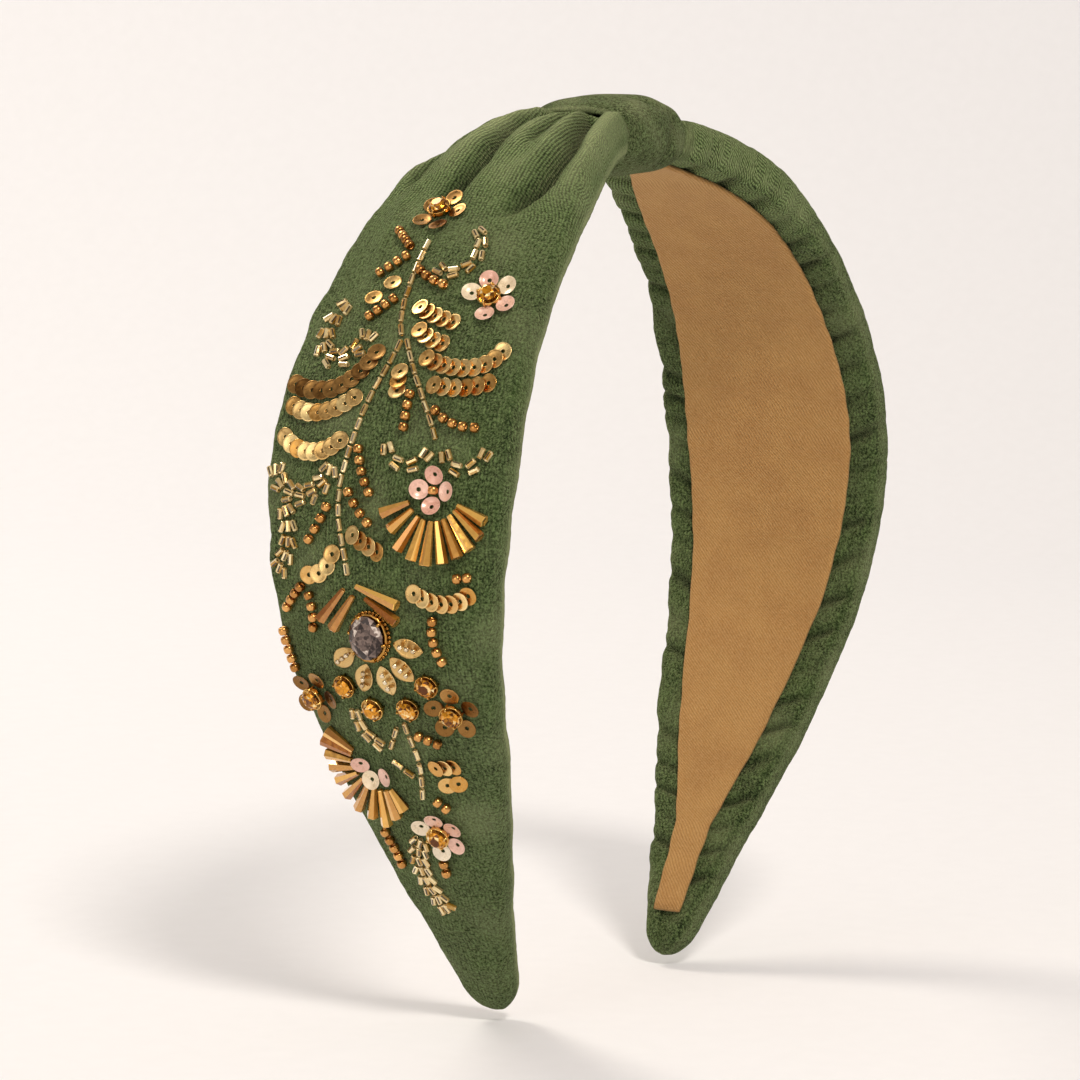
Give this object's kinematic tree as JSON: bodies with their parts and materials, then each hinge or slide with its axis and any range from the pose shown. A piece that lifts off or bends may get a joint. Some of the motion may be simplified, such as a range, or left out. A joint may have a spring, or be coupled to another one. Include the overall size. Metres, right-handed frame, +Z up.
{
  "type": "padded velvet headband",
  "caption": "Padded velvet headband with a knot at the crown, spring-hoop arms that flex open, velour lining and beaded, sequinned floral embroidery on both arms.",
  "frame": {"origin": "centre of the crown arc, the middle of the wearer's head at the level of the band's widest curve", "axes": "+Z up through the knot, +X towards the wearer's left ear (the right side seen from the front), +Y towards the back of the head"},
  "size_m": [0.1472, 0.0436, 0.15],
  "materials": {
    "velvet": "deep green ribbed velvet, short soft pile",
    "foam": "soft upholstery foam, hidden",
    "hoop_core": "springy natural polypropylene, hidden",
    "lining": "tan ribbed velour ribbon",
    "silver_lined_glass": "silver-lined champagne glass tubes",
    "amber_glass": "clear amber glass, faceted",
    "copper_seed": "copper-gold plated seed bead",
    "silver_seed": "pale gold seed bead",
    "gold_sequin": "satin gold film",
    "bronze_sequin": "satin bronze film",
    "pink_sequin": "pearly pink film",
    "cream_sequin": "pearly cream film",
    "gold_metal": "polished gold plate",
    "leaf_metal": "satin gold film",
    "champagne_stone": "foil-backed champagne crystal",
    "smoky_stone": "smoky grey-violet glass"
  },
  "bodies": {
    "crown": {"knot_wrap": "velvet", "hoop_core": "hoop_core", "lining": "lining"},
    "left_arm": {"left_cover": "velvet", "left_foam_pad": "foam", "left_stem_bugles": "silver_lined_glass", "left_spray_bugles": "silver_lined_glass", "left_seed_beads": "copper_seed", "left_gold_sequins": "gold_sequin", "left_bronze_sequins": "bronze_sequin", "left_pink_sequins": "pink_sequin", "left_cream_sequins": "cream_sequin", "left_tapered_bugles": "amber_glass", "left_chaton_cups": "gold_metal", "left_chaton_stones": "champagne_stone", "left_leaf_spangles": "leaf_metal", "left_leaf_beads": "silver_seed", "left_oval_setting": "gold_metal", "left_oval_stone": "smoky_stone"},
    "right_arm": {"right_cover": "velvet", "right_foam_pad": "foam", "right_stem_bugles": "silver_lined_glass", "right_spray_bugles": "silver_lined_glass", "right_seed_beads": "copper_seed", "right_gold_sequins": "gold_sequin", "right_bronze_sequins": "bronze_sequin", "right_pink_sequins": "pink_sequin", "right_cream_sequins": "cream_sequin", "right_tapered_bugles": "amber_glass", "right_chaton_cups": "gold_metal", "right_chaton_stones": "champagne_stone", "right_leaf_spangles": "leaf_metal", "right_leaf_beads": "silver_seed", "right_oval_setting": "gold_metal", "right_oval_stone": "smoky_stone"}
  },
  "joints": [
    {"name": "left_arm_flex", "type": "hinge", "parent": "crown", "child": "left_arm", "pos_m": [0, 0, 0.068], "axis": [0, 1, 0], "range_deg": [-3, 10], "stiffness_Nm_per_rad": 2.5, "deforming": ["hoop_core", "lining"]},
    {"name": "right_arm_flex", "type": "hinge", "parent": "crown", "child": "right_arm", "pos_m": [0, 0, 0.068], "axis": [0, -1, 0], "range_deg": [-3, 10], "stiffness_Nm_per_rad": 2.5}
  ]
}
